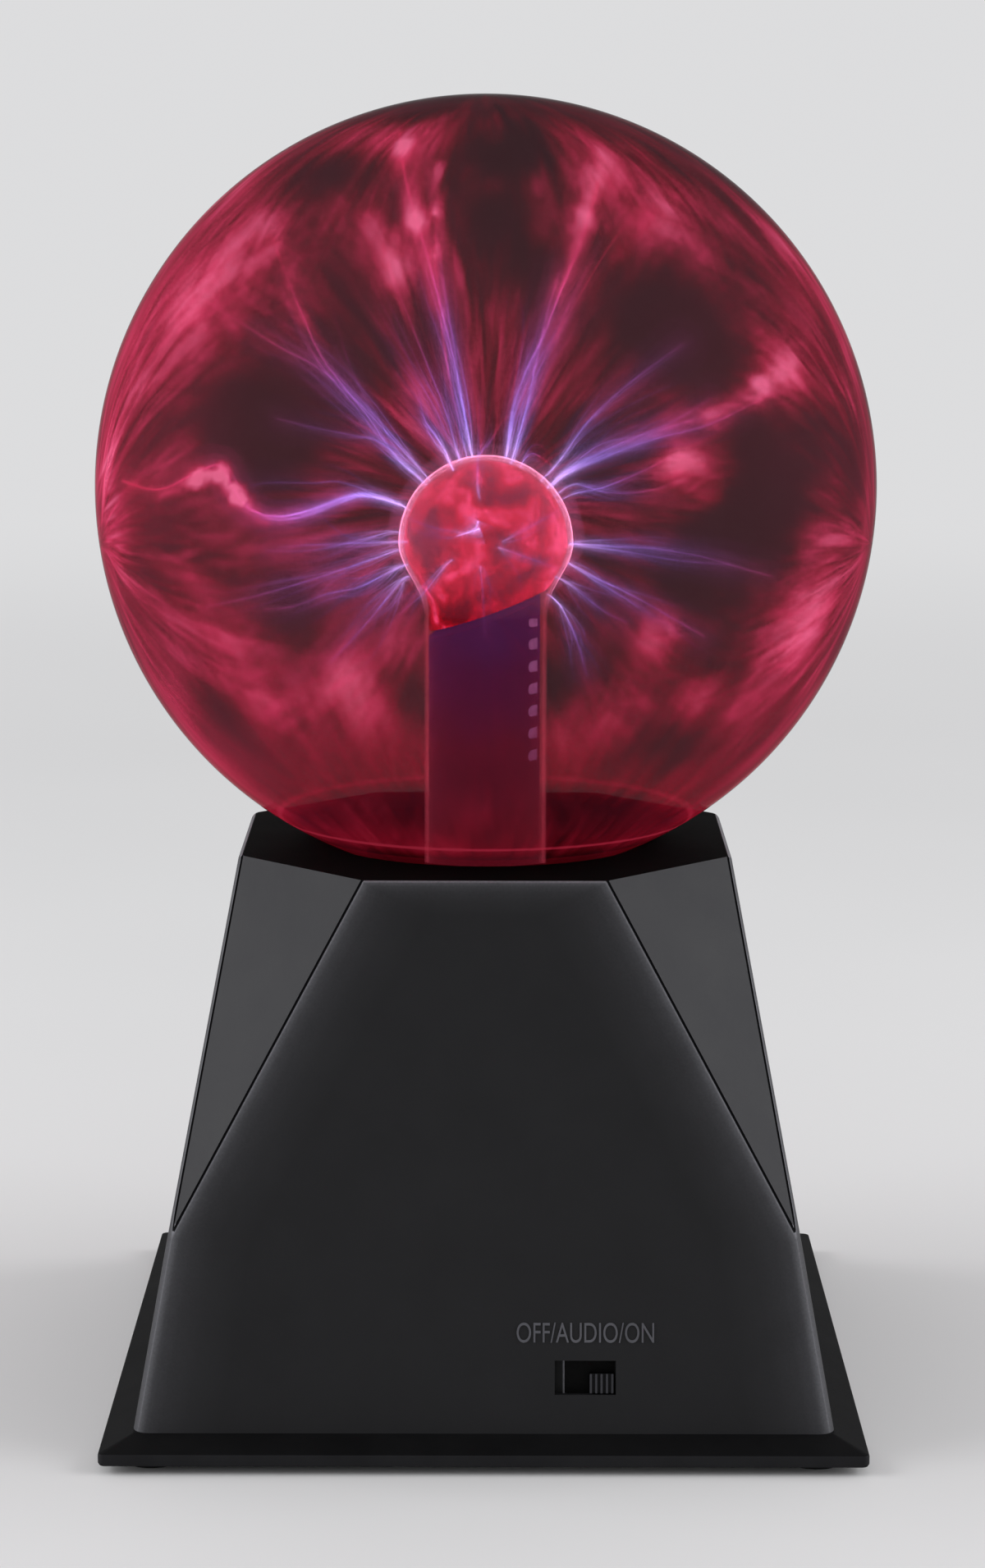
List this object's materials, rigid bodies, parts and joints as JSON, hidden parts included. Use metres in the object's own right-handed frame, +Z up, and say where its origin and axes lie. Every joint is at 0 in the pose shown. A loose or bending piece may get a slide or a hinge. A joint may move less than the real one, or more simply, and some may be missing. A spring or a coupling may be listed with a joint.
{
  "type": "plasma ball",
  "caption": "Glass plasma globe with a bulb-shaped inner electrode, on a black tapered four-sided base with corner facets, a front slide switch and a rear power inlet.",
  "frame": {"origin": "on the surface it stands on, under the middle of the base", "axes": "+Z up through the globe, -Y out of the front face with the switch, +X to the viewer's right"},
  "size_m": [0.152, 0.152, 0.2521],
  "materials": {
    "cover_plastic": "fine matte texture",
    "plate_plastic": "satin black",
    "foot_rubber": "matte",
    "screw_steel": "zinc plated",
    "globe_glass": "clear, polished",
    "electrode_glass": "clear, polished",
    "liner_film": "dark coated sheet",
    "contact_brass": "plain",
    "silicone": "matte",
    "gasket_rubber": "matte",
    "cup_plastic": "matte",
    "lead_insulation": "smooth",
    "board_laminate": "solder mask",
    "ferrite": "matte",
    "copper_wire": "enamelled",
    "bobbin_plastic": "matte",
    "component_black": "matte moulded",
    "sink_aluminium": "extruded",
    "capacitor_sleeve": "shrink sleeve",
    "film_resin": "dipped resin",
    "resistor_lacquer": "lacquer",
    "pin_nickel": "nickel plated",
    "frame_steel": "plated sheet",
    "terminal_phenolic": "phenolic paper",
    "knob_plastic": "matte moulded"
  },
  "bodies": {
    "base": {"base_cover": "cover_plastic", "base_plate": "plate_plastic", "rubber_feet": "foot_rubber", "cover_screws": "screw_steel", "cup_screws": "screw_steel", "board_screws": "screw_steel", "transistor_screw": "screw_steel", "switch_screws": "screw_steel", "glass_globe": "globe_glass", "electrode_stem": "electrode_glass", "exhaust_tip": "electrode_glass", "electrode_liner": "liner_film", "hv_contact": "contact_brass", "jack_contacts": "contact_brass", "switch_terminals": "contact_brass", "stem_plug": "silicone", "neck_bond": "silicone", "globe_gasket": "gasket_rubber", "globe_cup": "cup_plastic", "hv_lead": "lead_insulation", "switch_leads": "lead_insulation", "circuit_board": "board_laminate", "transformer_core": "ferrite", "primary_winding": "copper_wire", "secondary_windings": "copper_wire", "secondary_bobbin": "bobbin_plastic", "power_transistor": "component_black", "control_chip": "component_black", "microphone_boot": "component_black", "dc_jack": "component_black", "heat_sink": "sink_aluminium", "microphone": "sink_aluminium", "filter_capacitors": "capacitor_sleeve", "film_capacitor": "film_resin", "resistors": "resistor_lacquer", "jack_pin": "pin_nickel", "switch_frame": "frame_steel", "terminal_board": "terminal_phenolic"},
    "slider": {"switch_knob": "knob_plastic", "switch_contact": "contact_brass"}
  },
  "joints": [
    {"name": "switch_slide", "type": "slide", "parent": "base", "child": "slider", "axis": [1, 0, 0], "range_m": [-0.0044, 0]}
  ]
}
